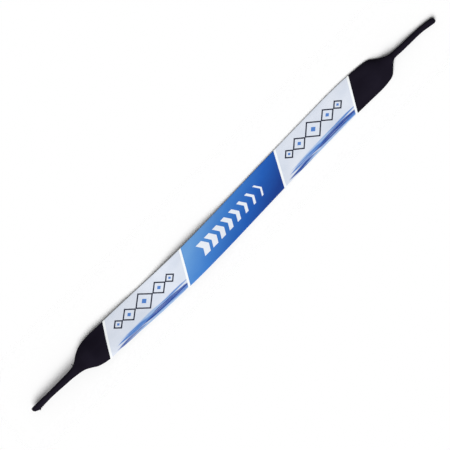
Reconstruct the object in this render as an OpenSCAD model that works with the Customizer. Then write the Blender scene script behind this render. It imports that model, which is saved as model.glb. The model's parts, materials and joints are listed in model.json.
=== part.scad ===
// Neoprene eyewear retainer: a flat laminated band whose two ends roll up into
// sewn sleeves that grip the temples of a pair of glasses.
// X runs along the strap, Y across it and Z up. The lining lies on Z = 0.

/* [Strap] */
// Length from the tip of one sleeve to the tip of the other
strap_l = 406; // [360:1:480]
// Width of the flat band
band_w = 24.6; // [18:0.2:34]

/* [Laminate] */
// Thickness of the printed face fabric
face_t = 0.28; // [0.2:0.02:0.5]
// Thickness of the foam between the two fabrics
foam_t = 0.8; // [0.5:0.05:1.4]
// Thickness of the lining fabric
lining_t = 0.28; // [0.2:0.02:0.5]
// Thickness of the glue line between two plies
glue_t = 0.02; // [0.01:0.01:0.04]

/* [Sleeves] */
// Length of a sleeve along its longest side
sleeve_l = 41; // [28:1:60]
// Bore of a sleeve at rest, before a temple stretches it
bore_d = 2; // [1.6:0.1:4]
// How much shorter the mouth is at the seam
mouth_setback = 3.3; // [0:0.1:5]

/* [Shoulders] */
// Length over which the flat band rolls up into a sleeve
shoulder_l = 40; // [34:1:52]
// How far back from the neck the roll fades out
roll_fade = 11; // [8:0.5:13]
// How briskly the roll closes at the neck
roll_snap = 1.35; // [1.1:0.05:1.8]
// How far the crest rises above the height of the sleeve wall
crest_rise = 1; // [0.6:0.1:3]
// Roundness of the corners where the outline leaves the band
corner_soft = 3.8; // [1:0.1:4]
// Gap between the two edges where the roll closes
butt_gap = 0.15; // [0.1:0.05:0.4]

/* [Left shoulder] */
// Slant of the outline on the far side
left_far_slant = 40; // [35:1:60]
// Where the far side meets the sleeve, before the neck
left_far_foot = 0.2; // [0:0.1:8]
// Roundness of the notch on the far side
left_far_notch = 1.2; // [0.4:0.1:3]
// Slant of the outline on the near side
left_near_slant = 45; // [35:1:60]
// Where the near side meets the sleeve, before the neck
left_near_foot = 3.8; // [0:0.1:8]
// Roundness of the notch on the near side
left_near_notch = 1.4; // [0.4:0.1:3]

/* [Right shoulder] */
// Slant of the outline on the far side
right_far_slant = 44; // [35:1:60]
// Where the far side meets the sleeve, before the neck
right_far_foot = 5.3; // [0:0.1:8]
// Roundness of the notch on the far side
right_far_notch = 2.5; // [0.4:0.1:3]
// Slant of the outline on the near side
right_near_slant = 52; // [35:1:60]
// Where the near side meets the sleeve, before the neck
right_near_foot = 2; // [0:0.1:8]
// Roundness of the notch on the near side
right_near_notch = 1; // [0.4:0.1:3]

/* [Seams] */
// Diameter of the sewing thread
thread_d = 0.3; // [0.2:0.02:0.4]
// Length of one zigzag of a seam
zigzag_l = 2.5; // [1.8:0.1:4]
// Width of a seam round the sleeve
seam_w = 2; // [1.2:0.1:3]
// Turn of both seams from the underside at the neck
neck_roll = -25; // [-45:5:0]
// Turn of the left seam from the underside at the mouth
left_roll = 75; // [-45:5:90]
// Turn of the right seam from the underside at the mouth
right_roll = -10; // [-45:5:90]

/* [Bends] */
// Distance of each band bend from the middle
bend_x = 48; // [30:1:70]
// Length of each band bend
bend_l = 12; // [8:1:20]

/* [Lay] */
// Sideways lie of the band at the left shoulder
lay_left_end = -1.5; // [-6:0.05:6]
// Sideways lie of the band at the left bend
lay_left_bend = -2.55; // [-6:0.05:6]
// Sideways lie of the band at the right bend
lay_right_bend = 0.85; // [-6:0.05:6]
// Sideways lie of the band at the right shoulder
lay_right_end = 2.5; // [-6:0.05:6]
// Heading of the left sleeve
lay_left_turn = -0.35; // [-4:0.05:4]
// Heading of the right sleeve
lay_right_turn = -0.3; // [-4:0.05:4]

/* [Hidden] */
$fn = 64;
wall_t = lining_t + foam_t + face_t + 2 * glue_t;
tube_r = bore_d / 2 + wall_t;
wall_r = bore_d / 2 + wall_t / 2;
full_roll = 180 - butt_gap / 2 / wall_r * 180 / PI;
band_end = strap_l / 2 - sleeve_l - shoulder_l;
lining_z = [0, lining_t];
foam_z = [lining_t + glue_t, lining_t + glue_t + foam_t];
face_z = [wall_t - face_t, wall_t];
thread_clear = 0.06;
seam_inset = 0.5;
zigzag_steps = 8;
thread_sides = 5;
seam_h = 2 * (thread_clear + thread_d);
left_sides = [
    [left_far_slant, left_far_foot, left_far_notch],
    [left_near_slant, left_near_foot, left_near_notch]
];
right_sides = [
    [right_near_slant, right_near_foot, right_near_notch],
    [right_far_slant, right_far_foot, right_far_notch]
];
flat_roll = 0.3;
turn_lag = 12;
close_lag = 20;
crest_soft = 0.25;
roll_steps = 20;
loft_steps = 16;
loft_crowd = 1.6;
black = [0.09, 0.085, 0.11];
pale = [0.85, 0.88, 0.94];
blue = [0.16, 0.4, 0.75];
grey = [0.25, 0.25, 0.28];

// Height of a sleeve axis, so that the seam clears the ground wherever it turns
seam_swing = seam_w / 2 / tube_r * 180 / PI;
function seam_drop(roll) = (tube_r + seam_h) * cos(max(0, abs(roll) - seam_swing));
function axis_z(roll) = max(tube_r, seam_drop(roll), seam_drop(neck_roll));

// Sideways lie of the centre line, a curve through four places with set headings
knots = [
    [-band_end, lay_left_end],
    [-bend_x, lay_left_bend],
    [bend_x, lay_right_bend],
    [band_end, lay_right_end]
];
slopes = [
    tan(lay_left_turn),
    (knots[2][1] - knots[0][1]) / (knots[2][0] - knots[0][0]),
    (knots[3][1] - knots[1][1]) / (knots[3][0] - knots[1][0]),
    tan(lay_right_turn)
];
function span_of(x) = x < -bend_x ? 0 : x < bend_x ? 1 : 2;
function lay_y(x) = let (i = span_of(x), w = knots[i + 1][0] - knots[i][0], t = (x - knots[i][0]) / w)
    (2 * t ^ 3 - 3 * t ^ 2 + 1) * knots[i][1] + (t ^ 3 - 2 * t ^ 2 + t) * w * slopes[i]
    + (3 * t ^ 2 - 2 * t ^ 3) * knots[i + 1][1] + (t ^ 3 - t ^ 2) * w * slopes[i + 1];
function lay_turn(x) = let (i = span_of(x), w = knots[i + 1][0] - knots[i][0], t = (x - knots[i][0]) / w)
    atan((6 * t ^ 2 - 6 * t) * (knots[i][1] - knots[i + 1][1]) / w
    + (3 * t ^ 2 - 4 * t + 1) * slopes[i] + (3 * t ^ 2 - 2 * t) * slopes[i + 1]);
function edge_point(x, side) = let (turn = lay_turn(x))
    [x, lay_y(x)] + side * band_w / 2 * [-sin(turn), cos(turn)];

// One flat length of one ply
module band_ply(x0, x1, z) {
    steps = ceil((x1 - x0) / 10);
    xs = [for (i = [0:steps]) x0 + (x1 - x0) * i / steps];
    translate([0, 0, z[0]]) linear_extrude(z[1] - z[0])
        polygon(concat([for (x = xs) edge_point(x, -1)], [for (i = [steps:-1:0]) edge_point(xs[i], 1)]));
}

// Stand an end at its place on the band, with its own X pointing out of the mouth
module at_left() {
    translate([-band_end, lay_left_end, 0]) rotate([0, 0, 180 + lay_left_turn]) children();
}
module at_right() {
    translate([band_end, lay_right_end, 0]) rotate([0, 0, lay_right_turn]) children();
}

// The lower or the higher of two values, with the change from one to the other rounded
function soft_low(a, b, k) = -k * ln(exp(-a / k) + exp(-b / k));
function soft_high(a, b, k) = k * ln(exp(a / k) + exp(b / k));

// Half width of one side of a shoulder from above, at a distance d from the band: a round corner,
// a straight slant and a notch, drawn to the width of the band at the start and of the sleeve at the neck
function open_outline(d, side) = let (slant = tube_r + (shoulder_l - side[1] - d) * tan(side[0]))
    soft_high(soft_low(band_w / 2, slant, corner_soft), tube_r, side[2]);
function outline(d, side) = open_outline(d, side)
    + (band_w / 2 - open_outline(0, side)) * (1 - d / shoulder_l) ^ close_lag
    + (tube_r - open_outline(shoulder_l, side)) * (d / shoulder_l) ^ close_lag;

// How far the sheet has rolled under on either side of its crest
function roll_share(d) = 1 - (1 - exp((d - shoulder_l) / roll_fade)) ^ roll_snap;
function rolled(d) = flat_roll
    + (full_roll - flat_roll) * (roll_share(d) - roll_share(0)) / (1 - roll_share(0));

// The sheet across a shoulder: two arcs that share a crest, each as wide as its side of the outline
function side_r(d, side) = outline(d, side) / sin(min(rolled(d), 90)) - wall_t / 2;
function crest_r(d, sides) = let (
        r = (side_r(d, sides[0]) + side_r(d, sides[1])) / 2,
        rise = r * (1 - cos(rolled(d)))
    ) r * soft_low(rise, 2 * wall_r + crest_rise, crest_soft) / rise;
function sheet_point(d, sides, share, h) = let (
        angle = rolled(d) * (2 * share - 1),
        out = h - wall_t / 2,
        high = crest_r(d, sides),
        turn = neck_roll * (d / shoulder_l) ^ turn_lag,
        y = (side_r(d, sides[angle < 0 ? 0 : 1]) + out) * sin(angle),
        z = (high + out) * cos(angle) - high * sin(rolled(d)) / rolled(d) * 180 / PI
    ) [y * cos(turn) - z * sin(turn), y * sin(turn) + z * cos(turn)];
function sheet_low(d, sides) = min([
    for (i = [0:roll_steps], h = [0, wall_t]) sheet_point(d, sides, i / roll_steps, h)[1]
]);
function sheet_spot(d, sides, i, h, low) = let (p = sheet_point(d, sides, i / roll_steps, h))
    [d, p[0], p[1] - low];
function shoulder_ring(d, sides, z, lift) = let (low = sheet_low(d, sides) - lift * rolled(d) / full_roll)
    concat(
        [for (i = [0:roll_steps]) sheet_spot(d, sides, i, z[1], low)],
        [for (i = [roll_steps:-1:0]) sheet_spot(d, sides, i, z[0], low)]
    );

// One ply of a shoulder, rolling from flat at the band to a closed tube at the neck.
// Its upper and lower sides are divided along the same diagonals, so that plies nest
module shoulder_ply(z, sides, roll) {
    lift = axis_z(roll) - tube_r;
    n = 2 * (roll_steps + 1);
    last = loft_steps * n;
    points = [for (k = [0:loft_steps])
        each shoulder_ring(shoulder_l * (1 - (1 - k / loft_steps) ^ loft_crowd), sides, z, lift)];
    walls = [for (k = [0:loft_steps - 1], i = [0:n - 1]) let (a = k * n + i, b = k * n + (i + 1) % n)
        each i < roll_steps
            ? [[a, b, b + n], [a, b + n, a + n]]
            : [[a, b, a + n], [b, b + n, a + n]]];
    near = [for (i = [0:roll_steps - 1]) each [[i, n - 1 - i, i + 1], [i + 1, n - 1 - i, n - 2 - i]]];
    far = [for (f = near) [last + f[0], last + f[2], last + f[1]]];
    polyhedron(points, concat(walls, near, far));
}

// One ply of a sleeve, a plain tube cut on the slant at its mouth
module sleeve_ply(z, roll) {
    cutter = 4 * tube_r;
    translate([shoulder_l, 0, axis_z(roll)]) difference() {
        rotate([0, 90, 0]) cylinder(r = bore_d / 2 + z[1], h = sleeve_l);
        rotate([0, 90, 0]) cylinder(r = bore_d / 2 + z[0], h = 3 * sleeve_l, center = true);
        rotate([roll, 0, 0]) translate([sleeve_l - mouth_setback / 2, 0, 0])
            rotate([0, atan(mouth_setback / 2 / tube_r), 0])
            translate([0, -cutter, -cutter]) cube(2 * cutter);
    }
}

// One thread of a sleeve seam, a zigzag laid round the outside of the sleeve
module seam_thread(layer, roll) {
    sides = thread_sides;
    r = tube_r + (layer + 1) * thread_clear + (layer + 0.5) * thread_d;
    x0 = shoulder_l + seam_inset;
    x1 = shoulder_l + sleeve_l - mouth_setback - seam_inset;
    steps = zigzag_steps * floor((x1 - x0) / zigzag_l);
    swing = layer == 0 ? seam_swing : -seam_swing;
    function side_angle(k) = neck_roll + (roll - neck_roll) * k / steps
        + swing * sin(k * 360 / zigzag_steps);
    function spot(k) = let (a = side_angle(k))
        [x0 + (x1 - x0) * k / steps, r * sin(a), axis_z(roll) - r * cos(a)];
    function out(k) = let (p = spot(k) - [0, 0, axis_z(roll)]) [0, p[1], p[2]] / r;
    function ring(k) = let (
            way = spot(min(k + 1, steps)) - spot(max(k - 1, 0)),
            side = cross(way, out(k)) / norm(cross(way, out(k)))
        ) [for (j = [0:sides - 1]) let (a = j * 360 / sides)
            spot(k) + thread_d / 2 * (cos(a) * out(k) + sin(a) * side)];
    points = [for (k = [0:steps]) each ring(k)];
    walls = [for (k = [0:steps - 1], j = [0:sides - 1])
        let (a = k * sides + j, b = k * sides + (j + 1) % sides)
        each [[a, b + sides, b], [a, a + sides, b + sides]]];
    near = [for (j = [1:sides - 2]) [0, j, j + 1]];
    far = [for (f = near) [steps * sides + f[0], steps * sides + f[2], steps * sides + f[1]]];
    polyhedron(points, concat(walls, near, far));
}

module center_lining() color(black) band_ply(-bend_x + bend_l / 2, bend_x - bend_l / 2, lining_z);
module center_foam() color(black) band_ply(-bend_x + bend_l / 2, bend_x - bend_l / 2, foam_z);
module center_face() color(blue) band_ply(-bend_x + bend_l / 2, bend_x - bend_l / 2, face_z);

module left_bend_lining() color(black) band_ply(-bend_x - bend_l / 2, -bend_x + bend_l / 2, lining_z);
module left_bend_foam() color(black) band_ply(-bend_x - bend_l / 2, -bend_x + bend_l / 2, foam_z);
module left_bend_face() color(blue) band_ply(-bend_x - bend_l / 2, -bend_x + bend_l / 2, face_z);

module right_bend_lining() color(black) band_ply(bend_x - bend_l / 2, bend_x + bend_l / 2, lining_z);
module right_bend_foam() color(black) band_ply(bend_x - bend_l / 2, bend_x + bend_l / 2, foam_z);
module right_bend_face() color(blue) band_ply(bend_x - bend_l / 2, bend_x + bend_l / 2, face_z);

module left_band_lining() color(black) band_ply(-band_end, -bend_x - bend_l / 2, lining_z);
module left_band_foam() color(black) band_ply(-band_end, -bend_x - bend_l / 2, foam_z);
module left_band_face() color(pale) band_ply(-band_end, -bend_x - bend_l / 2, face_z);

module right_band_lining() color(black) band_ply(bend_x + bend_l / 2, band_end, lining_z);
module right_band_foam() color(black) band_ply(bend_x + bend_l / 2, band_end, foam_z);
module right_band_face() color(pale) band_ply(bend_x + bend_l / 2, band_end, face_z);

module left_shoulder_lining() color(black) at_left() shoulder_ply(lining_z, left_sides, left_roll);
module left_shoulder_foam() color(black) at_left() shoulder_ply(foam_z, left_sides, left_roll);
module left_shoulder_face() color(black) at_left() shoulder_ply(face_z, left_sides, left_roll);

module right_shoulder_lining() color(black) at_right() shoulder_ply(lining_z, right_sides, right_roll);
module right_shoulder_foam() color(black) at_right() shoulder_ply(foam_z, right_sides, right_roll);
module right_shoulder_face() color(black) at_right() shoulder_ply(face_z, right_sides, right_roll);

module left_sleeve_lining() color(black) at_left() sleeve_ply(lining_z, left_roll);
module left_sleeve_foam() color(black) at_left() sleeve_ply(foam_z, left_roll);
module left_sleeve_face() color(black) at_left() sleeve_ply(face_z, left_roll);

module right_sleeve_lining() color(black) at_right() sleeve_ply(lining_z, right_roll);
module right_sleeve_foam() color(black) at_right() sleeve_ply(foam_z, right_roll);
module right_sleeve_face() color(black) at_right() sleeve_ply(face_z, right_roll);

module left_needle_thread() color(grey) at_left() seam_thread(0, left_roll);
module left_looper_thread() color(grey) at_left() seam_thread(1, left_roll);
module right_needle_thread() color(grey) at_right() seam_thread(0, right_roll);
module right_looper_thread() color(grey) at_right() seam_thread(1, right_roll);

center_lining();
center_foam();
center_face();
left_bend_lining();
left_bend_foam();
left_bend_face();
right_bend_lining();
right_bend_foam();
right_bend_face();
left_band_lining();
left_band_foam();
left_band_face();
right_band_lining();
right_band_foam();
right_band_face();
left_shoulder_lining();
left_shoulder_foam();
left_shoulder_face();
right_shoulder_lining();
right_shoulder_foam();
right_shoulder_face();
left_sleeve_lining();
left_sleeve_foam();
left_sleeve_face();
right_sleeve_lining();
right_sleeve_foam();
right_sleeve_face();
left_needle_thread();
left_looper_thread();
right_needle_thread();
right_looper_thread();
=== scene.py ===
import json
import math

import bpy
import numpy as np
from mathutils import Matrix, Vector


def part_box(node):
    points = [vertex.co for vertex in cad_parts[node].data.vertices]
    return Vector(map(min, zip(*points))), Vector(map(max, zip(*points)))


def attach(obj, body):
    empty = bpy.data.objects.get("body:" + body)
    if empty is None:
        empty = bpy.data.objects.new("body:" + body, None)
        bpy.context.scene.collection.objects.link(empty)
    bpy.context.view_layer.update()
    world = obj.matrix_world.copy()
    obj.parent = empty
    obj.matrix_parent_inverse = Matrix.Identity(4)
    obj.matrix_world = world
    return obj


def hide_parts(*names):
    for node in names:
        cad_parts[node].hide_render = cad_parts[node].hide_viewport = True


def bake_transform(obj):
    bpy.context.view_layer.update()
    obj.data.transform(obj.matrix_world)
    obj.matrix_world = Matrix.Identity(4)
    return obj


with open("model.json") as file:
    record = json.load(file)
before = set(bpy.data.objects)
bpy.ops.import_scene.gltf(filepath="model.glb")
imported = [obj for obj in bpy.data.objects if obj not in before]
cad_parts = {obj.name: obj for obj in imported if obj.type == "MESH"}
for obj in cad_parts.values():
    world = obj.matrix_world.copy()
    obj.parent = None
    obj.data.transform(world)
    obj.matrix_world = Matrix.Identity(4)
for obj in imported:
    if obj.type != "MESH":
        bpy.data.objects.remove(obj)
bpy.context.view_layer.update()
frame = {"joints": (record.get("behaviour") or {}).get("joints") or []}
mm = 0.001  # every size below is in millimetres


# Sizes that the frame already holds

def boxOf(node):
    low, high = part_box(node)
    return np.array(low) / mm, np.array(high) / mm


def hingeLine(name):
    joint = next(j for j in frame["joints"] if j["name"] == name)
    x, y, z = np.array(joint["pos_m"]) / mm
    return x, y, z, -joint["axis"][0] / joint["axis"][1]


plyHeights = {ply: [corner[2] for corner in boxOf("center_" + ply)]
              for ply in ("lining", "foam", "face")}
wall = plyHeights["face"][1]
bandLow = boxOf("left_band_face")[0]
shoulderLow, shoulderHigh = boxOf("left_shoulder_face")
sleeveLow, sleeveHigh = boxOf("left_sleeve_face")
bandW = shoulderHigh[1] - shoulderLow[1]
bandEnd = -(bandLow[0] + shoulderHigh[0]) / 2
neckX = -(shoulderLow[0] + sleeveHigh[0]) / 2
tipX = -sleeveLow[0]
tubeR = (sleeveHigh[2] - sleeveLow[2]) / 2
tubeZ = (sleeveHigh[2] + sleeveLow[2]) / 2
wallR = tubeR - wall / 2
hinges = {name: hingeLine(name) for name in
          ("left_sleeve_bend", "left_band_bend", "right_band_bend", "right_sleeve_bend")}
print("strap frame: band", round(bandW, 2), "wide, sleeves", round(2 * tubeR, 2), "thick")


# Shader wiring

def tone(red, green, blue):
    # a colour as it shows on a screen, 0 to 255, turned into light
    share = [value / 255 for value in (red, green, blue)]
    light = [s / 12.92 if s < 0.04045 else ((s + 0.055) / 1.055) ** 2.4 for s in share]
    return (*light, 1.0)


def plug(tree, value, socket):
    if isinstance(value, Wire):
        tree.links.new(value.socket, socket)
    else:
        socket.default_value = value


class Wire:
    # a value on its way from one shader node to the next
    def __init__(self, tree, socket):
        self.tree = tree
        self.socket = socket

    def calc(self, operation, *others, clamp=False):
        node = self.tree.nodes.new("ShaderNodeMath")
        node.operation = operation
        node.use_clamp = clamp
        for socket, value in zip(node.inputs, (self, *others)):
            plug(self.tree, value, socket)
        return Wire(self.tree, node.outputs[0])

    def __add__(self, other):
        return self.calc("ADD", other)

    def __sub__(self, other):
        return self.calc("SUBTRACT", other)

    def __mul__(self, other):
        return self.calc("MULTIPLY", other)

    def size(self):
        return self.calc("ABSOLUTE")

    def lower(self, other):
        return self.calc("MINIMUM", other)

    def inside(self, blur=0.14):
        # 1 where the value is above zero, with a soft edge
        return self.calc("MULTIPLY_ADD", 1 / blur, 0.5, clamp=True)


def paint(colour, mask, ink):
    node = mask.tree.nodes.new("ShaderNodeMix")
    node.data_type = "RGBA"
    plug(mask.tree, mask, node.inputs[0])
    plug(mask.tree, colour, node.inputs[6])
    plug(mask.tree, ink, node.inputs[7])
    return Wire(mask.tree, node.outputs[2])


def speckle(u, v, alongScale, acrossScale, detail):
    tree = u.tree
    spot = tree.nodes.new("ShaderNodeCombineXYZ")
    plug(tree, u * alongScale, spot.inputs[0])
    plug(tree, v * acrossScale, spot.inputs[1])
    node = tree.nodes.new("ShaderNodeTexNoise")
    node.inputs["Scale"].default_value = 1.0
    node.inputs["Detail"].default_value = detail
    tree.links.new(spot.outputs[0], node.inputs["Vector"])
    return Wire(tree, node.outputs[0])


def rampOf(value, stops):
    node = value.tree.nodes.new("ShaderNodeValToRGB")
    ramp = node.color_ramp
    while len(ramp.elements) < len(stops):
        ramp.elements.new(0.5)
    for element, (place, colour) in zip(ramp.elements, stops):
        element.position = place
        element.color = colour
    plug(value.tree, value, node.inputs[0])
    return Wire(value.tree, node.outputs[0])


def newFinish(name):
    finish = bpy.data.materials.new(name)
    finish.use_nodes = True
    tree = finish.node_tree
    shader = tree.nodes["Principled BSDF"]
    where = tree.nodes.new("ShaderNodeUVMap")
    where.uv_map = "cloth"
    split = tree.nodes.new("ShaderNodeSeparateXYZ")
    tree.links.new(where.outputs[0], split.inputs[0])
    return finish, shader, Wire(tree, split.outputs[0]), Wire(tree, split.outputs[1])


def emboss(shader, height, depth, strength):
    tree = height.tree
    node = tree.nodes.new("ShaderNodeBump")
    node.inputs["Strength"].default_value = strength
    node.inputs["Distance"].default_value = depth * mm
    plug(tree, height, node.inputs["Height"])
    tree.links.new(node.outputs[0], shader.inputs["Normal"])


# Knitted jersey: wales run along the strap, and each stitch is a small V
# A grain is how often it changes along and across the strap, and its detail

jersey = {
    "wale": 0.42, "course": 0.34, "lean": 1.5, "stitchDeep": 0.3,
    "depth": 0.05, "strength": 0.45,
    # the gaps between the yarns get painted shade: their colour is darkened towards black
    "gapShadeDepth": 0.2, "gapShadeFrom": 0.13,  # shade in the gaps between the yarns
    "wornGrain": (0.09, 0.16, 4.0), "wornRough": 0.16, "wornHeight": 1.5,
    "sheenRough": 0.45,
}


def knit(u, v):
    across = ((v * (1 / jersey["wale"])).calc("FRACT") - 0.5).size()
    stitch = ((u * (1 / jersey["course"]) + across * jersey["lean"]) * math.tau).calc("SINE")
    rib = (across * -2 + 1).calc("SQRT")
    return rib * (stitch * jersey["stitchDeep"] + (1 - jersey["stitchDeep"]))


def knitFinish(shader, u, v, colour, look):
    yarn = knit(u, v)
    worn = speckle(u, v, *jersey["wornGrain"])
    # painted shade: the colour is painted darker in the gaps between the yarns
    paintedGapShade = yarn * -jersey["gapShadeDepth"] + jersey["gapShadeFrom"]
    rough = worn * jersey["wornRough"] + (look["rough"] - jersey["wornRough"] / 2)
    plug(u.tree, paint(colour, paintedGapShade, (0.0, 0.0, 0.0, 1.0)), shader.inputs["Base Color"])
    plug(u.tree, rough, shader.inputs["Roughness"])
    shader.inputs["Specular IOR Level"].default_value = look["gloss"]
    shader.inputs["Sheen Weight"].default_value = look["sheen"]
    shader.inputs["Sheen Roughness"].default_value = jersey["sheenRough"]
    emboss(shader, yarn + worn * jersey["wornHeight"], jersey["depth"], jersey["strength"])


def patchy(u, v, look):
    # a ground colour that fades in soft patches
    patches = speckle(u, v, *look["grain"]) * look["contrast"] - look["cut"]
    return paint(look["ground"], patches, look["faded"])


def plainFinish(name, look):
    finish, shader, u, v = newFinish(name)
    knitFinish(shader, u, v, patchy(u, v, look), look)
    return finish


# Print: slanted colour blocks with white margins between them

blocks = {
    "leftBlack": (-130.25, 0.577),  # where each edge crosses the middle line, and its slant
    "leftBlue": (-52.4, 0.562),
    "middle": (0.0, 0.0),
    "rightBlue": (45.0, 0.565),
    "rightBlack": (121.4, 0.568),
    "margin": 1.9,
    "white": tone(251, 254, 255),
}


def pastEdge(u, v, edge):
    x, slant = blocks[edge]
    return u - v * slant - x


blackPrint = {
    "ground": tone(25, 22, 32), "faded": tone(32, 29, 40),
    "grain": (0.05, 0.1, 3.0), "contrast": 2.0, "cut": 0.7,
    "rough": 0.75, "gloss": 0.0, "sheen": 0.01,
}
bluePrint = {
    "stops": [(0.0, tone(105, 160, 220)), (0.35, tone(62, 127, 207)),
              (0.7, tone(31, 93, 183)), (1.0, tone(20, 60, 140))],
    "start": 0.53, "along": 0.0088, "across": -0.019,  # how the blue deepens over the panel
    "grain": (0.06, 0.12, 3.0), "cloud": 0.12,
    "chevrons": 8, "pitch": 8.2, "from": -31.0, "middle": 0.4,
    "thick": 5.6, "thin": 1.6, "high": 4.9, "sweep": 0.62,
    "ink": tone(240, 245, 253),
    "rough": 0.75, "gloss": 0.15, "sheen": 0.03,
}


def blueFinish():
    finish, shader, u, v = newFinish("blue printed jersey")
    look = bluePrint
    cloud = speckle(u, v, *look["grain"])
    deep = (u * look["along"] + v * look["across"] + cloud * look["cloud"]
            + (look["start"] - look["cloud"] / 2))
    colour = rampOf(deep, look["stops"])
    high = (v - look["middle"]).size()
    for k in range(look["chevrons"]):
        wide = look["thick"] + (look["thin"] - look["thick"]) * (k / (look["chevrons"] - 1))
        arm = (u + high * look["sweep"] - (look["from"] + look["pitch"] * k)).size()
        bar = (arm * -1 + wide / 2).lower(high * -1 + look["high"])
        colour = paint(colour, bar.inside(), look["ink"])
    knitFinish(shader, u, v, colour, look)
    return finish


palePrint = {
    "ground": tone(214, 222, 236), "faded": tone(230, 235, 245),
    "grain": (0.05, 0.09, 3.0), "contrast": 2.2, "cut": 0.6,
    "ink": tone(22, 27, 48), "fill": tone(224, 231, 243), "line": 1.0,
    "royal": tone(28, 72, 158), "mid": tone(84, 132, 205), "light": tone(160, 190, 230),
    # lozenges: place along the panel, half length, half height
    "lozenges": [(-25.0, 4.6, 4.0), (-14.5, 6.6, 5.6), (0.0, 8.6, 7.4),
                 (14.5, 6.6, 5.6), (25.0, 4.6, 4.0)],
    "lozengeV": 2.4, "heart": 0.72,  # where the small heart of a lozenge starts
    # strokes: place along the panel, place across it, half length, half width, ink
    "strokes": [(-2.0, -7.4, 30.0, 1.0, "light"), (12.0, -9.6, 25.0, 1.9, "royal"),
                (-17.0, -8.7, 18.0, 1.3, "mid"), (20.0, -6.9, 16.0, 0.6, "mid"),
                (-23.0, -11.0, 15.0, 1.1, "royal"), (4.0, -11.5, 31.0, 0.7, "light"),
                (27.0, -10.9, 9.0, 0.8, "mid")],
    "strokeBlur": 0.5, "brushGrain": (0.07, 2.2, 3.0), "wobble": 1.3,
    # how much of a stroke the dry brush leaves bare
    "dryGrain": (0.04, 3.1, 2.0), "dry": 0.33, "dryBlur": 0.3,
    "rough": 0.75, "gloss": 0.15, "sheen": 0.03,
}


def paleFinish(name, startEdge, endEdge):
    finish, shader, u, v = newFinish(name)
    look = palePrint
    along = u - (blocks[startEdge][0] + blocks[endEdge][0]) / 2
    colour = patchy(u, v, look)
    brush = speckle(u, v, *look["brushGrain"]) - 0.5
    streak = (speckle(u, v, *look["dryGrain"]) - look["dry"]).inside(look["dryBlur"])
    for place, level, longHalf, wideHalf, ink in look["strokes"]:
        reach = (along - place) * (1 / longHalf)
        taper = (reach * reach) * -1 + 1
        body = taper * wideHalf - (v - level + brush * look["wobble"]).size()
        colour = paint(colour, body.inside(look["strokeBlur"]) * streak, look[ink])
    for place, longHalf, highHalf in look["lozenges"]:
        edgeScale = longHalf * highHalf / math.hypot(longHalf, highHalf)
        fromMiddle = (v - look["lozengeV"]).size()
        corner = (along - place).size() * (1 / longHalf) + fromMiddle * (1 / highHalf)
        depth = corner * -edgeScale + edgeScale
        colour = paint(colour, depth.inside(), look["ink"])
        colour = paint(colour, (depth - look["line"]).inside(), look["fill"])
        colour = paint(colour, (depth - edgeScale * look["heart"]).inside(), look["mid"])
    fromStart = pastEdge(u, v, startEdge)
    toEnd = pastEdge(u, v, endEdge) * -1
    margin = fromStart.lower(toEnd) * -1 + blocks["margin"]
    knitFinish(shader, u, v, paint(colour, margin.inside(), blocks["white"]), look)
    return finish


liningLook = {
    "ground": tone(30, 30, 33), "faded": tone(42, 42, 46),
    "grain": (0.04, 0.07, 3.0), "contrast": 2.0, "cut": 0.6,
    "rough": 0.85, "gloss": 0.1, "sheen": 0.05,
}
foamLook = {
    "ground": tone(26, 26, 28), "cell": tone(44, 44, 47), "cellSize": 0.22,
    "rough": 0.75, "cellRough": 0.2, "gloss": 0.3, "depth": 0.06, "strength": 0.6,
}


def foamFinish():
    finish, shader = newFinish("closed-cell foam")[:2]
    tree = finish.node_tree
    place = tree.nodes.new("ShaderNodeTexCoord")
    cells = tree.nodes.new("ShaderNodeTexVoronoi")
    cells.inputs["Scale"].default_value = 1 / (foamLook["cellSize"] * mm)
    tree.links.new(place.outputs["Object"], cells.inputs["Vector"])
    depth = Wire(tree, cells.outputs["Distance"])
    # painted shade: the hollow of each cell is painted darker than its rim
    colour = paint(foamLook["ground"], depth, foamLook["cell"])
    plug(tree, colour, shader.inputs["Base Color"])
    plug(tree, depth * foamLook["cellRough"] + foamLook["rough"], shader.inputs["Roughness"])
    shader.inputs["Specular IOR Level"].default_value = foamLook["gloss"]
    emboss(shader, depth, foamLook["depth"], foamLook["strength"])
    return finish


threadLook = {
    # the lit colour is a painted highlight along the crest of each twisted ply
    "ground": tone(34, 33, 40), "lit": tone(62, 60, 70), "paintedHighlightShare": 0.8,
    "pitch": 0.09, "plies": 3.0,
    "rough": 0.42, "fibreRough": 0.15, "sheen": 0.25, "depth": 0.02, "strength": 0.5,
}


def threadFinish():
    finish, shader, u, v = newFinish("polyester thread")
    tree = u.tree
    look = threadLook
    wound = (u * (1 / look["pitch"]) + v * look["plies"]) * math.tau
    fibre = wound.calc("SINE") * 0.5 + 0.5
    # painted highlight: the crest of each twisted ply is painted lighter
    colour = paint(look["ground"], fibre * look["paintedHighlightShare"], look["lit"])
    plug(tree, colour, shader.inputs["Base Color"])
    plug(tree, fibre * look["fibreRough"] + look["rough"], shader.inputs["Roughness"])
    shader.inputs["Sheen Weight"].default_value = look["sheen"]
    emboss(shader, fibre, look["depth"], look["strength"])
    return finish


finishes = {
    "black": plainFinish("black jersey", blackPrint),
    "blue": blueFinish(),
    "leftPale": paleFinish("left pale printed jersey", "leftBlack", "leftBlue"),
    "rightPale": paleFinish("right pale printed jersey", "rightBlue", "rightBlack"),
    "lining": plainFinish("lining jersey", liningLook),
    "foam": foamFinish(),
    "thread": threadFinish(),
}
print("finishes:", ", ".join(finishes))


# Middle line of the strap, through its four hinges

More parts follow.
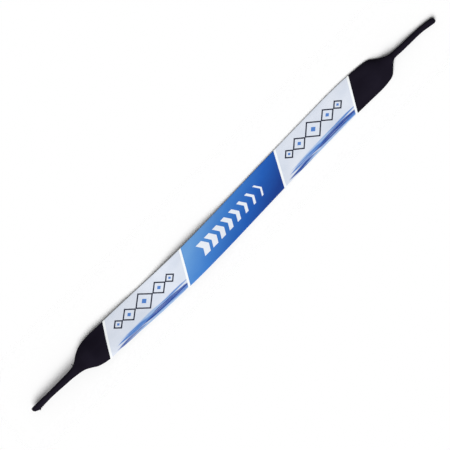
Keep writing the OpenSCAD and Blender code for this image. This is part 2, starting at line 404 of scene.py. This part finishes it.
def throughKnots(u, xs, ys, slopes):
    # a smooth curve through the knots, and its slope
    i = np.clip(np.searchsorted(xs, u, side="right") - 1, 0, len(xs) - 2)
    span = xs[i + 1] - xs[i]
    t = np.clip((u - xs[i]) / span, 0, 1)
    height = ((2 * t ** 3 - 3 * t ** 2 + 1) * ys[i] + (t ** 3 - 2 * t ** 2 + t) * span * slopes[i]
              + (3 * t ** 2 - 2 * t ** 3) * ys[i + 1] + (t ** 3 - t ** 2) * span * slopes[i + 1])
    slope = ((6 * t ** 2 - 6 * t) * (ys[i] - ys[i + 1]) / span
             + (3 * t ** 2 - 4 * t + 1) * slopes[i] + (3 * t ** 2 - 2 * t) * slopes[i + 1])
    return height, slope


hingeX, hingeY, _, hingeSlope = np.array(list(hinges.values())).T
lineX = np.array([-bandEnd, hingeX[1], hingeX[2], bandEnd])
lineY = hingeY + hingeSlope * (lineX - hingeX)
lay = {
    # a soft sheet doesn't lie quite straight: place along the strap, shift to the side
    "asides": [(-204.0, -0.1), (-190.0, -0.1), (-175.0, 0.0), (-165.0, 0.15), (-150.0, 0.4),
               (-135.0, 0.3), (-118.0, 0.0), (100.0, 0.0), (170.0, 0.0), (183.0, 0.0),
               (187.5, -0.08), (191.6, -0.32), (195.9, -0.85), (200.3, -1.5), (204.0, -2.1)],
    # it touches the ground in places and lifts between them: place along the strap, height
    "lifts": [(-204.0, 2.2), (-198.0, 3.0), (-190.0, 3.7), (-175.0, 3.7), (-160.0, 3.4),
              (-140.0, 3.1), (-120.0, 2.4), (-103.0, 1.5), (-88.0, 0.6), (-75.0, 1.4),
              (-60.0, 3.0), (-42.0, 3.8), (-24.0, 3.2), (-6.0, 1.5), (10.0, 0.6), (40.0, 0.2),
              (120.0, 0.1), (140.0, 0.0), (165.0, 0.0), (185.0, -0.1), (204.0, -0.15)],
}
asideX, asideY = np.array(lay["asides"]).T
asideSlope = np.gradient(asideY, asideX)
liftX, liftZ = np.array(lay["lifts"]).T
liftSlope = np.gradient(liftZ, liftX)


def middleLine(u):
    inside = np.clip(u, lineX[0], lineX[-1])
    y, slope = throughKnots(inside, lineX, lineY, hingeSlope)
    heading = np.arctan(slope)
    beyond = u - inside
    aside, swerve = throughKnots(u, asideX, asideY, asideSlope)
    x = inside + beyond * np.cos(heading)
    return x, y + beyond * np.sin(heading) + aside, heading + np.arctan(swerve)


def setDown(u, y, z):
    # from a section's own y and z, seen out of the mouth, to the strap's place
    x0, y0, heading = middleLine(u)
    out = np.where(u < 0, -1.0, 1.0)
    lift = throughKnots(u, liftX, liftZ, liftSlope)[0]
    return np.stack([x0 - out * y * np.sin(heading), y0 + out * y * np.cos(heading), z + lift], -1)


# Shoulders and sleeves: the sheet rolls up into a tube whose edges meet in a seam

shoulder = {
    # how the sheet rolls up on its way to the neck
    "rollFade": 11.0, "rollSnap": 1.35, "leastRoll": 0.001,
    "crest": 4.4, "crestSoft": 0.25,  # greatest rise of the arch
    "neckTurn": -25.0, "turnLag": 12.0,  # turn of the seam at the neck, from the underside
    # the square and the gentle side of each end from above: place along the strap, half width
    "outlines": {
        "left": ([(85.0, 12.3), (112.0, 11.95), (130.0, 11.7), (137.0, 11.7), (141.4, 11.35),
                  (145.7, 10.85), (148.0, 10.35), (150.1, 9.6), (152.3, 8.4), (154.4, 7.0),
                  (156.6, 5.2), (158.8, 3.85), (160.9, 3.05), (163.1, 2.7), (165.3, 2.5),
                  (172.0, 2.35), (190.0, 2.1), (204.0, 2.05)],
                 [(85.0, 12.3), (118.0, 12.1), (130.0, 12.05), (137.0, 12.05), (141.4, 11.55),
                  (145.7, 10.55), (147.9, 9.8), (150.1, 8.5), (152.3, 7.2), (154.4, 5.8),
                  (156.6, 4.9), (158.8, 4.38), (163.1, 3.65), (167.5, 3.15), (171.9, 2.95),
                  (176.2, 2.7), (180.6, 2.48), (185.0, 2.35), (204.0, 2.3)]),
        "right": ([(85.0, 12.3), (130.0, 12.35), (138.8, 12.35), (143.2, 12.15), (145.3, 11.85),
                   (147.5, 11.55), (149.7, 11.1), (151.9, 10.15), (153.9, 8.2), (156.1, 5.75),
                   (158.3, 3.7), (160.4, 2.3), (162.6, 2.1), (167.0, 2.2), (178.0, 2.2),
                   (186.0, 2.1), (194.0, 2.3), (204.0, 2.35)],
                  [(85.0, 12.3), (130.0, 12.2), (134.5, 12.0), (138.8, 11.7), (143.2, 11.25),
                   (145.4, 10.85), (147.5, 9.95), (149.7, 8.3), (151.9, 6.65), (153.9, 5.35),
                   (156.1, 4.2), (158.3, 3.25), (160.4, 2.8), (162.6, 2.57), (167.0, 2.35),
                   (178.0, 2.2), (186.0, 2.1), (194.0, 2.15), (204.0, 2.2)]),
    },
}
sleeve = {
    "buttGap": 0.15, "setback": 3.3, "mouthSharp": 4, "seamInset": 0.5,
    "ridge": 0.12, "ridgeWide": 1.3, "ridgeFade": 24,  # the ridge fades out before the neck
    # the seam draws the cloth up towards the mouth
    "swell": {"left": 0.55, "right": 0.0}, "swellOver": 13.0,
    "mouthTurn": {"left": 75.0, "right": -10.0},
    "tip": {"left": tipX + 0.5, "right": tipX - 1.5},
    "tipRound": 2.2, "tipPull": {"left": 0.18, "right": 0.62},
    # an empty sleeve sinks in
    "flatten": {"left": 0.15, "right": 0.5}, "flattenFrom": 168.0, "flattenOver": 24.0,
}
probe = {"rows": 1400, "columns": 81, "past": 1.0}  # where the lowest points are looked for


def byEnd(u, values):
    return np.where(u < 0, values["left"], values["right"])


def softLow(a, b, soft):
    return -soft * np.logaddexp(-a / soft, -b / soft)


def ease(t):
    return t * t * (3 - 2 * t)


def outline(u, side):
    halves = []
    for end in ("left", "right"):
        places, widths = np.array(shoulder["outlines"][end][side]).T
        slopes = np.gradient(widths, places)
        halves.append(throughKnots(np.abs(u), places, widths, slopes)[0])
    return np.where(u < 0, *halves)


def rollShare(u):
    back = np.minimum(np.abs(u) - neckX, 0)
    return 1 - (1 - np.exp(back / shoulder["rollFade"])) ** shoulder["rollSnap"]


def arch(u):
    # how far the sheet rolls, its radius on either side and the radius of its crest
    fullRoll = math.pi - sleeve["buttGap"] / 2 / wallR
    roll = np.maximum(fullRoll * rollShare(u), shoulder["leastRoll"])
    bow = np.sin(np.minimum(roll, math.pi / 2))
    radii = [outline(u, side) / bow - wall / 2 for side in (0, 1)]
    middle = (radii[0] + radii[1]) / 2
    rise = middle * (1 - np.cos(roll))
    tall = middle * softLow(rise, shoulder["crest"], shoulder["crestSoft"]) / rise
    sunk = ease(np.clip((np.abs(u) - sleeve["flattenFrom"]) / sleeve["flattenOver"], 0, 1))
    return roll, radii, tall * (1 - byEnd(u, sleeve["flatten"]) * sunk)


def halfWidths(u):
    # along the sheet from the middle line to the low Y edge and to the high Y edge
    roll, radii, tall = arch(u)
    square, gentle = (roll * (radius + tall) / 2 for radius in radii)
    return np.where(u < 0, gentle, square), np.where(u < 0, square, gentle)


def seamEnds(u):
    end = byEnd(u, sleeve["tip"]) - sleeve["setback"] - sleeve["seamInset"]
    return neckX + sleeve["seamInset"], end


def seamTurn(u):
    start, end = seamEnds(u)
    rolled = np.clip((np.abs(u) - bandEnd) / (neckX - bandEnd), 0, 1) ** shoulder["turnLag"]
    sewn = np.clip((np.abs(u) - start) / (end - start), 0, 1)
    neck = shoulder["neckTurn"]
    return np.radians(neck * rolled + (byEnd(u, sleeve["mouthTurn"]) - neck) * sewn)


def section(u, across, high):
    # a place on the sheet from the axis that it rolls round, and that axis's depth under the crest
    roll, radii, tall = arch(u)
    width = roll * np.where(across < 0, radii[0] + tall, radii[1] + tall) / 2
    angle = across / width * roll - seamTurn(u)
    out = high - wall / 2
    sideR = np.where(np.sin(angle) < 0, *radii) + out
    return sideR * np.sin(angle), (tall + out) * np.cos(angle), tall


def lowestTable(out):
    # the lowest point of each section under its crest, so that the sheet can be set on the ground
    u = out * np.linspace(0, tipX + probe["past"], probe["rows"])[:, None]
    low, far = halfWidths(u)
    width = np.where(out < 0, far, low), np.where(out < 0, low, far)
    across = -width[0] + np.linspace(0, 1, probe["columns"]) * (width[0] + width[1])
    levels = []
    for high in (0.0, wall):
        _, z, tall = section(u, across, high)
        levels.append((z - tall).min(axis=1))
    return np.abs(u[:, 0]), np.minimum(*levels)


tables = {"left": lowestTable(-1.0), "right": lowestTable(1.0)}


def onSheet(u, across, high):
    y, z, tall = section(u, across, high)
    low = byEnd(u, {end: np.interp(np.abs(u), *table) for end, table in tables.items()})
    past = np.clip((np.abs(u) - byEnd(u, sleeve["tip"])) / sleeve["tipRound"] + 1, 0, 1)
    pull = 1 - byEnd(u, sleeve["tipPull"]) * (1 - np.sqrt(1 - past ** 2))
    return setDown(u, y * pull, z * pull - tall - low + (tubeZ - tubeR) * rollShare(u))


def seamRidge(u, fromEdge):
    fromMouth = byEnd(u, sleeve["tip"]) - sleeve["setback"] - np.abs(u)
    near = ease(np.clip(1 - fromMouth / sleeve["swellOver"], 0, 1))
    rise = sleeve["ridge"] + byEnd(u, sleeve["swell"]) * near
    return rise * np.clip(1 - fromEdge / sleeve["ridgeWide"], 0, 1) ** 2


def sheetPoint(u, v, high):
    low, far = halfWidths(u)
    fromEdge = np.clip(np.minimum(v + low, far - v), 0, None)
    ridge = seamRidge(u, fromEdge) * rollShare(u) ** sleeve["ridgeFade"]
    return onSheet(u, np.where(u < 0, -v, v), high + ridge)


# Plies: each is a closed thin shell, cut into lengths, each listed with one hinge

sheet = {
    "edgeSteps": np.array([0.0, 0.04, 0.12, 0.26, 0.5]),  # columns near a cut edge
    "inner": 32,
    "fine": 0.6, "coarse": 1.5, "fineReach": 22.0,  # row spacing near the neck and away from it
    "lastRow": 1.5,  # the last row is at most this many steps long
    "slantReach": 20.0, "mouthReach": 9.0,
    "settle": 4,  # rounds in which the rows and the widths settle to each other
    "sharp": 48.0,  # edges that turn more than this stay sharp
}
plyLooks = {
    "face": {"inset": 0.0, "topRound": 0.13, "bottomRound": 0.0},
    "foam": {"inset": 0.11, "topRound": 0.0, "bottomRound": 0.0},
    "lining": {"inset": 0.0, "topRound": 0.0, "bottomRound": 0.13},
}
lineXs = {"leftMouth": -sleeve["tip"]["left"], "rightMouth": sleeve["tip"]["right"]}
for edge in ("leftBlack", "leftBlue", "middle", "rightBlue", "rightBlack"):
    lineXs[edge] = blocks[edge][0]
inner = np.linspace(0, 1, sheet["inner"] + 1)[1:-1]
edgeSteps = sheet["edgeSteps"]
share = np.concatenate([0 * edgeSteps, inner, 1 + 0 * edgeSteps])
shift = np.concatenate([edgeSteps, edgeSteps[-1] * (1 - 2 * inner), -edgeSteps[::-1]])
rounding = np.concatenate([edgeSteps, edgeSteps[-1] + 0 * inner, edgeSteps[::-1]])
rounding = (1 - rounding / edgeSteps[-1]) ** 2


def rowsBetween(start, end):
    rows = [start]
    while True:
        away = min(1, abs(abs(rows[-1]) - neckX) / sheet["fineReach"])
        step = sheet["fine"] + (sheet["coarse"] - sheet["fine"]) * away
        if rows[-1] + sheet["lastRow"] * step > end:
            return np.array(rows + [end])
        rows.append(rows[-1] + step)


def mouthCut(u, v):
    low, far = halfWidths(u)
    turned = v / np.where(v < 0, low, far) * math.pi
    return sleeve["setback"] * ((1 - np.cos(turned)) / 2) ** sleeve["mouthSharp"]


def nearLine(rows, x, reach):
    return ease(np.clip(1 - np.abs(rows - x) / reach, 0, 1))[:, None]


def sheetGrid(rows, startEdge, endEdge, inset):
    # along and across places of one side of a ply, rows following its two end lines
    u = rows[:, None] + 0 * share
    for _ in range(sheet["settle"]):
        low, far = halfWidths(u)
        v = -(low - inset) * (1 - share) + (far - inset) * share + shift
        u = rows[:, None] + 0 * share
        for edge in (startEdge, endEdge):
            if edge in blocks:
                x, slant = blocks[edge]
                u = u + nearLine(rows, x, sheet["slantReach"]) * slant * v
            else:
                x = lineXs[edge]
                u = u - np.sign(x) * nearLine(rows, x, sheet["mouthReach"]) * mouthCut(u, v)
    return u, v


def addMesh(name, points, faces, finish, cloth):
    mesh = bpy.data.meshes.new(name)
    mesh.from_pydata((points * mm).tolist(), [], faces)
    mesh.materials.append(finish)
    layer = mesh.uv_layers.new(name="cloth")
    corner = np.empty(len(mesh.loops), np.int32)
    mesh.loops.foreach_get("vertex_index", corner)
    layer.uv.foreach_set("vector", cloth[corner].astype(np.float32).ravel())
    mesh.polygons.foreach_set("use_smooth", [True] * len(mesh.polygons))
    mesh.set_sharp_from_angle(angle=math.radians(sheet["sharp"]))
    piece = bpy.data.objects.new(name, mesh)
    bpy.context.scene.collection.objects.link(piece)
    return piece


def ringFaces(rowCount, ring):
    # the walls between rings of points
    faces = []
    for i in range(rowCount - 1):
        for j in range(ring):
            a = i * ring + j
            b = i * ring + (j + 1) % ring
            faces.append((a, b, b + ring, a + ring))
    return faces


def shellFaces(rowCount, columnCount):
    ring = 2 * columnCount
    faces = [(a, d, c, b) for a, b, c, d in ringFaces(rowCount, ring)]
    last = (rowCount - 1) * ring
    for j in range(columnCount - 1):
        strip = (j, j + 1, ring - 2 - j, ring - 1 - j)
        faces.append(strip)
        faces.append(tuple(last + k for k in reversed(strip)))
    return faces


def plyPiece(name, ply, startEdge, endEdge, finish):
    look = plyLooks[ply]
    bottom, top = plyHeights[ply]
    startX, endX = lineXs[startEdge], lineXs[endEdge]
    rows = rowsBetween(startX, endX)
    u, v = sheetGrid(rows, startEdge, endEdge, look["inset"])
    upper = sheetPoint(u, v, top - look["topRound"] * rounding)
    lower = sheetPoint(u, v, bottom + look["bottomRound"] * rounding)
    points = np.concatenate([upper, lower[:, ::-1]], axis=1)
    flat = np.stack([u, v], -1)
    cloth = np.concatenate([flat, flat[:, ::-1]], axis=1)
    faces = shellFaces(len(rows), len(share))
    piece = addMesh(name, points.reshape(-1, 3), faces, finish, cloth.reshape(-1, 2))
    widths = v[:, -1] - v[:, 0]
    area = float(np.sum((widths[1:] + widths[:-1]) / 2 * np.diff(rows)))
    return piece, (float(widths.max()) * mm, float(endX - startX) * mm), area * mm * mm


bend = {"band": 12.0, "sleeve": 11.0}  # half length over which the sheet turns at a hinge


def bendAt(piece, hinge):
    x, y, z, slope = hinges[hinge]
    half = bend["sleeve"] if "sleeve" in hinge else bend["band"]
    ahead = np.array([1.0, slope, 0.0]) / math.hypot(1.0, slope) * half
    here = np.array([x, y, z])
    (here - ahead) * mm
    (here + ahead) * mm
    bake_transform(piece)


# name, start line, end line, hinge, finish, slot, CAD lengths that it stands for
faceLengths = [
    ("left_end", "leftMouth", "leftBlack", "left_sleeve_bend",
     "black", "face_black", ("left_sleeve", "left_shoulder")),
    ("left_pale", "leftBlack", "leftBlue", "left_band_bend",
     "leftPale", "face_pale", ("left_band", "left_bend")),
    ("left_blue", "leftBlue", "middle", "left_band_bend", "blue", "face_blue", ("center",)),
    ("right_blue", "middle", "rightBlue", "right_band_bend", "blue", "face_blue", ("center",)),
    ("right_pale", "rightBlue", "rightBlack", "right_band_bend",
     "rightPale", "face_pale", ("right_band", "right_bend")),
    ("right_end", "rightBlack", "rightMouth", "right_sleeve_bend",
     "black", "face_black", ("right_sleeve", "right_shoulder")),
]
# name, start line, end line, hinge, CAD lengths that it stands for
backLengths = [
    ("left_end", "leftMouth", "leftBlack", "left_sleeve_bend",
     ("left_sleeve", "left_shoulder")),
    ("left_half", "leftBlack", "middle", "left_band_bend",
     ("left_band", "left_bend", "center")),
    ("right_half", "middle", "rightBlack", "right_band_bend",
     ("right_band", "right_bend", "center")),
    ("right_end", "rightBlack", "rightMouth", "right_sleeve_bend",
     ("right_sleeve", "right_shoulder")),
]
plyLengths = [("face", *row) for row in faceLengths]
for ply in ("foam", "lining"):
    plyLengths += [(ply, *row[:4], ply, ply, row[4]) for row in backLengths]

for ply, name, startEdge, endEdge, hinge, finish, slot, lengths in plyLengths:
    piece, flat, area = plyPiece(name + "_" + ply, ply, startEdge, endEdge, finishes[finish])
    bendAt(piece, hinge)
    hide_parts(*[length + "_" + ply for length in lengths])
    if ply == "foam":
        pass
    else:
        backName = name.replace("_pale", "_half").replace("_blue", "_half")
        under = "floor" if ply == "lining" else backName + "_foam"
print("plies:", len(plyLengths), "lengths of face, foam and lining")


# Seams: a zigzag of two twisted threads over each butted edge

seam = {
    "threadR": 0.11, "zigzag": 2.5, "wide": 2.0, "turnSharp": 0.96,
    "dive": 0.1, "diveSharp": 8,  # a thread goes into the cloth at each turn
    "twist": 0.85, "stepsPerTwist": 10, "sides": 9, "lobe": 0.2, "lobes": 3,
    # loose tails at the left neck: start along the strap, reach to the side, drift along, rise
    "tails": [(-160.8, 4.4, 0.5, 1.2), (-160.5, 4.6, 0.6, 1.6), (-160.2, 4.2, 0.5, 0.9),
              (-159.2, 4.0, 0.6, 1.5), (-158.9, 3.9, 0.8, 1.1)],
    "tailThick": 1.5, "tailSteps": 40, "tailArc": 1.6,
    # the lump that ends the left seam
    "knot": 0.26, "knotThick": 2.2, "knotBack": 0.7, "knotSink": 0.25, "knotSteps": 120,
}


def seamPath(out, layer):
    start, end = seamEnds(np.array(out))
    count = math.floor((end - start) / seam["zigzag"])
    walk = math.hypot(seam["zigzag"], 2 * seam["wide"]) * count
    steps = round(walk / seam["twist"] * seam["stepsPerTwist"])
    k = np.linspace(0, 1, steps + 1)
    sharp = seam["turnSharp"]
    swing = np.arcsin(sharp * np.sin(math.tau * count * k)) / math.asin(sharp)
    swing = swing * (1 if layer == 0 else -1)
    u = out * (start + (end - start) * k)
    # wide is measured on the outside, and the sheet in the middle of its wall
    aside = swing * seam["wide"] / 2 * wallR / tubeR
    over = layer * 2 * seam["threadR"] * (1 - swing ** 2)
    dive = seam["dive"] * swing ** seam["diveSharp"]
    high = wall + seamRidge(u, np.abs(aside)) + seam["threadR"] + over - dive
    across = halfWidths(u)[0 if out < 0 else 1] + aside
    path = onSheet(u, across, high)
    return path, onSheet(u, across, high + 1) - path


def tailPath(u, reach, drift, rise):
    k = np.linspace(0, 1, seam["tailSteps"] + 1)
    across = np.array(halfWidths(np.array(u))[0])
    root = onSheet(np.array(u), across, wall + seam["threadR"])
    climb = rise * k * (seam["tailArc"] - (seam["tailArc"] - 1) * k)
    path = root + np.stack([drift * k ** 2, reach * k, climb], -1)
    return path, np.array([0.0, 0.0, 1.0]) + 0 * path, seam["tailThick"]


def knotPath():
    # a trefoil
    u = -(seamEnds(np.array(-1))[1] - seam["knotBack"])
    middle = onSheet(u, halfWidths(u)[0], wall + seamRidge(u, 0.0) - seam["knotSink"])
    turn = np.linspace(0, math.tau, seam["knotSteps"] + 1)
    reach = seam["knot"] * (2 + np.cos(3 * turn))
    rise = seam["knot"] * np.sin(3 * turn)
    loop = np.stack([reach * np.cos(2 * turn), reach * np.sin(2 * turn), rise], -1)
    return middle + loop, loop + np.array([0.0, 0.0, 1.0]), seam["knotThick"]


def unit(vectors):
    return vectors / np.linalg.norm(vectors, axis=-1, keepdims=True)


def twistedTube(path, outward, thick=1.0):
    along = unit(np.gradient(path, axis=0))
    side = unit(np.cross(along, outward))
    up = np.cross(side, along)
    walked = np.concatenate([[0], np.cumsum(np.linalg.norm(np.diff(path, axis=0), axis=1))])
    count = seam["sides"]
    turn = math.tau * np.arange(count) / count
    lobed = 1 - seam["lobe"] + seam["lobe"] * np.cos(seam["lobes"] * turn)
    radius = thick * seam["threadR"] * lobed
    angle = turn + math.tau * walked[:, None] / seam["twist"]
    points = (path[:, None] + (radius * np.cos(angle))[..., None] * up[:, None]
              + (radius * np.sin(angle))[..., None] * side[:, None])
    cloth = np.stack([walked[:, None] + 0 * angle, turn / math.tau + 0 * angle], -1)
    faces = ringFaces(len(path), count)
    faces.append(tuple(reversed(range(count))))
    faces.append(tuple((len(path) - 1) * count + j for j in range(count)))
    return points.reshape(-1, 3), faces, cloth.reshape(-1, 2)


def threadPiece(name, runs):
    points, faces, cloth = [], [], []
    for run in runs:
        newPoints, newFaces, newCloth = twistedTube(*run)
        first = sum(len(part) for part in points)
        faces += [tuple(first + corner for corner in face) for face in newFaces]
        points.append(newPoints)
        cloth.append(newCloth)
    return addMesh(name, np.concatenate(points), faces, finishes["thread"], np.concatenate(cloth))


for endName, out in (("left", -1), ("right", 1)):
    for layer, threadName in enumerate(("needle", "looper")):
        runs = [seamPath(out, layer)]
        if endName == "left":
            runs += [tailPath(*tail) for tail in seam["tails"]] if layer == 0 else [knotPath()]
        stitch = threadPiece(f"{endName}_{threadName}_stitch", runs)
        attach(stitch, endName + "_sleeve")
        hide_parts(f"{endName}_{threadName}_thread")
print("seams: four zigzag threads, with loose tails and a knot on the left")


# Stage: white ground that keeps the shadow, one soft sun and an even sky

stage = {
    "floorSize": (430.0, 48.0), "floorMiddle": (0.0, 6.0),
    "floorFade": 14.0, "fadeSoft": 0.1,
    "floorTone": tone(255, 255, 255), "floorRough": 0.9,
    "sky": 0.2, "skyBelow": 0.9,  # light from above and from under the ground
    "sun": 3.38, "sunSpread": 44.0, "sunHigh": 48.0, "sunSide": -52.0,
    "hang": 8.0,  # how far below the ground the strap bends before it counts as hanging free
}


def groundWhereItLies(floor, linings):
    # a strap that bends down hangs free, so the ground is left out and hides nothing of it
    group = bpy.data.node_groups.new("ground where the strap lies", "GeometryNodeTree")
    for way in ("INPUT", "OUTPUT"):
        group.interface.new_socket("ground", in_out=way, socket_type="NodeSocketGeometry")
    make, link = group.nodes.new, group.links.new
    ground, shown = make("NodeGroupInput"), make("NodeGroupOutput")
    strap = make("GeometryNodeJoinGeometry")
    for lining in linings:
        piece = make("GeometryNodeObjectInfo")
        piece.transform_space = "RELATIVE"
        piece.inputs["Object"].default_value = lining
        link(piece.outputs["Geometry"], strap.inputs[0])
    height = make("ShaderNodeSeparateXYZ")
    link(make("GeometryNodeInputPosition").outputs[0], height.inputs[0])
    lowest = make("GeometryNodeAttributeStatistic")
    link(strap.outputs[0], lowest.inputs["Geometry"])
    link(height.outputs[2], lowest.inputs["Attribute"])
    hangs = make("FunctionNodeCompare")
    hangs.operation = "LESS_THAN"
    link(lowest.outputs["Min"], hangs.inputs[0])
    hangs.inputs[1].default_value = -stage["hang"] * mm
    either = make("GeometryNodeSwitch")
    either.input_type = "GEOMETRY"
    link(hangs.outputs[0], either.inputs["Switch"])
    link(ground.outputs[0], either.inputs["False"])
    link(either.outputs[0], shown.inputs[0])
    floor.modifiers.new("ground where the strap lies", "NODES").node_group = group


def whiteFloor():
    # a strip of pale ground for the shadow
    # it fades out round its edge, is clear from below, and lets light through
    half = [side / 2 + stage["floorFade"] for side in stage["floorSize"]]
    x, y = stage["floorMiddle"]
    around = ((-1, -1), (1, -1), (1, 1), (-1, 1))
    corners = [(x + a * half[0], y + b * half[1]) for a, b in around]
    mesh = bpy.data.meshes.new("floor")
    mesh.from_pydata([(a * mm, b * mm, 0) for a, b in corners], [], [(0, 1, 2, 3)])
    floor = bpy.data.objects.new("floor", mesh)
    finish = bpy.data.materials.new("pale ground")
    finish.use_nodes = True
    tree = finish.node_tree
    shader = tree.nodes["Principled BSDF"]
    shader.inputs["Base Color"].default_value = stage["floorTone"]
    shader.inputs["Roughness"].default_value = stage["floorRough"]
    shader.inputs["Specular IOR Level"].default_value = 0.0
    place = tree.nodes.new("ShaderNodeTexCoord")
    split = tree.nodes.new("ShaderNodeSeparateXYZ")
    tree.links.new(place.outputs["Object"], split.inputs[0])
    away = []
    for k in (0, 1):
        fromMiddle = (Wire(tree, split.outputs[k]) - stage["floorMiddle"][k] * mm).size()
        past = fromMiddle - stage["floorSize"][k] / 2 * mm
        away.append(past * (1 / (stage["floorFade"] * mm)))
    side = tree.nodes.new("ShaderNodeNewGeometry")
    rays = tree.nodes.new("ShaderNodeLightPath")
    bare = away[0].calc("MAXIMUM", away[1]).calc("SMOOTH_MAX", 0.0, stage["fadeSoft"])
    for unseen in (side.outputs["Backfacing"], rays.outputs["Is Diffuse Ray"],
                   rays.outputs["Is Shadow Ray"]):
        bare = bare.calc("MAXIMUM", Wire(tree, unseen), clamp=True)
    clear = tree.nodes.new("ShaderNodeBsdfTransparent")
    mix = tree.nodes.new("ShaderNodeMixShader")
    plug(tree, bare, mix.inputs[0])
    tree.links.new(shader.outputs[0], mix.inputs[1])
    tree.links.new(clear.outputs[0], mix.inputs[2])
    tree.links.new(mix.outputs[0], tree.nodes["Material Output"].inputs["Surface"])
    mesh.materials.append(finish)
    bpy.context.scene.collection.objects.link(floor)
    groundWhereItLies(floor, [bpy.data.objects[row[0] + "_lining"] for row in backLengths])


def evenSky():
    world = bpy.data.worlds.new("sky")
    world.use_nodes = True
    bpy.context.scene.world = world
    tree = world.node_tree
    sky = tree.nodes["Background"]
    rays = tree.nodes.new("ShaderNodeLightPath")
    seen = Wire(tree, rays.outputs["Is Camera Ray"])
    for ray in ("Is Glossy Ray", "Is Transmission Ray"):
        seen = seen.calc("MAXIMUM", Wire(tree, rays.outputs[ray]))
    sky.inputs["Color"].default_value = (1.0, 1.0, 1.0, 1.0)
    place = tree.nodes.new("ShaderNodeTexCoord")
    split = tree.nodes.new("ShaderNodeSeparateXYZ")
    tree.links.new(place.outputs["Generated"], split.inputs[0])
    below = Wire(tree, split.outputs[2]).calc("LESS_THAN", 0.0)
    light = below * (stage["skyBelow"] - stage["sky"]) + stage["sky"]
    plug(tree, light.calc("MAXIMUM", seen), sky.inputs["Strength"])


def softSun():
    lamp = bpy.data.lights.new("sun", "SUN")
    lamp.energy = stage["sun"]
    lamp.angle = math.radians(stage["sunSpread"])
    sun = bpy.data.objects.new("sun", lamp)
    sun.rotation_euler = (math.radians(90 - stage["sunHigh"]), 0, math.radians(stage["sunSide"]))
    bpy.context.scene.collection.objects.link(sun)


photo = {
    "lens": 100.0, "sensor": 36.0,
    "wide": 325.8,  # what the picture spans at the top of the band
    "turn": 44.06,  # the strap's tilt in the picture
    "middle": (-10.99, -1.16),  # the point of the strap's frame at the picture's middle
}


def photoCamera():
    lens = bpy.data.cameras.new("camera")
    lens.lens = photo["lens"]
    lens.sensor_width = photo["sensor"]
    camera = bpy.data.objects.new("camera", lens)
    far = photo["wide"] * photo["lens"] / photo["sensor"] + wall
    camera.location = (photo["middle"][0] * mm, photo["middle"][1] * mm, far * mm)
    camera.rotation_euler = (0, 0, -math.radians(photo["turn"]))
    bpy.context.scene.collection.objects.link(camera)
    bpy.context.scene.camera = camera


whiteFloor()
evenSky()
softSun()
photoCamera()
bpy.context.scene.view_settings.view_transform = "Standard"
print("stage: floor, sky, sun and camera")
